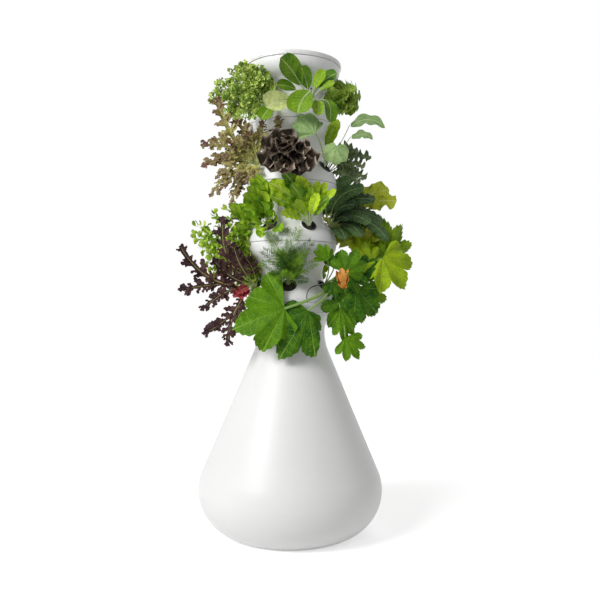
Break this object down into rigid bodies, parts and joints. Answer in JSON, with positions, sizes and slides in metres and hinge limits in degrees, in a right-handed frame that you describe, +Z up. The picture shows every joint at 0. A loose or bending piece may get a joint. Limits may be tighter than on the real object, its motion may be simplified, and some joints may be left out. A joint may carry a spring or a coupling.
{
  "type": "vertical planter tower",
  "caption": "Pear-shaped white water tank under a stack of hourglass growing modules that twist together, with angled planting ports, net cups, leafy plants, riser, pump and lid.",
  "frame": {"origin": "centre of the tank's flat foot, on the floor", "axes": "+Z up along the tower's axis, the side seen in the picture faces -Y, the fill hatch is at +Y"},
  "size_m": [0.7636, 0.6976, 1.559],
  "materials": {
    "white_plastic": "satin blow-moulded and injection-moulded plastic",
    "black_plastic": "plain black moulded plastic",
    "pump_plastic": "dark moulded plastic",
    "pipe_plastic": "extruded plastic pipe",
    "soft_rubber": "soft black rubber",
    "steel": "stainless rod",
    "grow_foam": "open brown growing foam",
    "green_leaf": "fresh green leaves",
    "purple_leaf": "dark purple leaves"
  },
  "bodies": {
    "base": {"base_tank": "white_plastic", "neck_collar": "white_plastic", "cable_grommet": "soft_rubber", "hatch_gasket": "soft_rubber", "hatch_hinge_pin": "steel", "pump_housing": "pump_plastic", "pump_volute_cover": "pump_plastic", "pump_strainer": "pump_plastic", "pump_shaft": "steel", "pump_suction_feet": "soft_rubber", "riser_pipe_0": "pipe_plastic"},
    "fill_hatch": {"hatch_cover": "white_plastic"},
    "pump_impeller": {"pump_rotor": "pump_plastic"},
    "level_4": {"module_4": "white_plastic", "net_cups_4": "black_plastic", "grow_plugs_4": "grow_foam", "riser_pipe_1": "pipe_plastic", "dill": "green_leaf", "squash": "green_leaf", "mustard_greens_1": "green_leaf", "mustard_greens_2": "green_leaf", "mixed_herbs": "green_leaf", "purple_mizuna": "purple_leaf"},
    "level_3": {"module_3": "white_plastic", "net_cups_3": "black_plastic", "grow_plugs_3": "grow_foam", "riser_pipe_2": "pipe_plastic", "romaine": "green_leaf", "lacinato_kale_1": "green_leaf", "oak_leaf_lettuce": "green_leaf", "lacinato_kale_2": "green_leaf", "basil_1": "green_leaf", "basil_2": "green_leaf"},
    "level_2": {"module_2": "white_plastic", "net_cups_2": "black_plastic", "grow_plugs_2": "grow_foam", "riser_pipe_3": "pipe_plastic", "purple_lettuce": "purple_leaf", "collard": "green_leaf", "purple_kale_1": "purple_leaf", "purple_kale_2": "purple_leaf", "red_mizuna_1": "purple_leaf", "red_mizuna_2": "purple_leaf"},
    "level_1": {"module_1": "white_plastic", "net_cups_1": "black_plastic", "grow_plugs_1": "grow_foam", "riser_pipe_4": "pipe_plastic", "shower_disc": "white_plastic", "spray_cap": "black_plastic", "bok_choy": "green_leaf", "curly_kale_1": "green_leaf", "curly_kale_2": "green_leaf", "curly_kale_3": "green_leaf", "curly_parsley_1": "green_leaf", "curly_parsley_2": "green_leaf"},
    "top_lid": {"lid": "white_plastic"}
  },
  "joints": [
    {"name": "twist_level_4", "type": "hinge", "parent": "base", "child": "level_4", "pos_m": [0, 0, 0.76], "axis": [0, 0, 1], "range_deg": [0, 18]},
    {"name": "twist_level_3", "type": "hinge", "parent": "level_4", "child": "level_3", "pos_m": [0, 0, 0.955], "axis": [0, 0, 1], "range_deg": [0, 18]},
    {"name": "twist_level_2", "type": "hinge", "parent": "level_3", "child": "level_2", "pos_m": [0, 0, 1.15], "axis": [0, 0, 1], "range_deg": [0, 18]},
    {"name": "twist_level_1", "type": "hinge", "parent": "level_2", "child": "level_1", "pos_m": [0, 0, 1.345], "axis": [0, 0, 1], "range_deg": [0, 18]},
    {"name": "lid_lift", "type": "slide", "parent": "level_1", "child": "top_lid", "axis": [0, 0, 1], "range_m": [0, 0.06]},
    {"name": "hatch_hinge", "type": "hinge", "parent": "base", "child": "fill_hatch", "pos_m": [0, 0.18559, 0.4736], "axis": [1, 0, 0], "range_deg": [0, 100]},
    {"name": "pump_spin", "type": "hinge", "parent": "base", "child": "pump_impeller", "pos_m": [0, 0, 0.048], "axis": [1, 0, 0], "continuous": true}
  ]
}
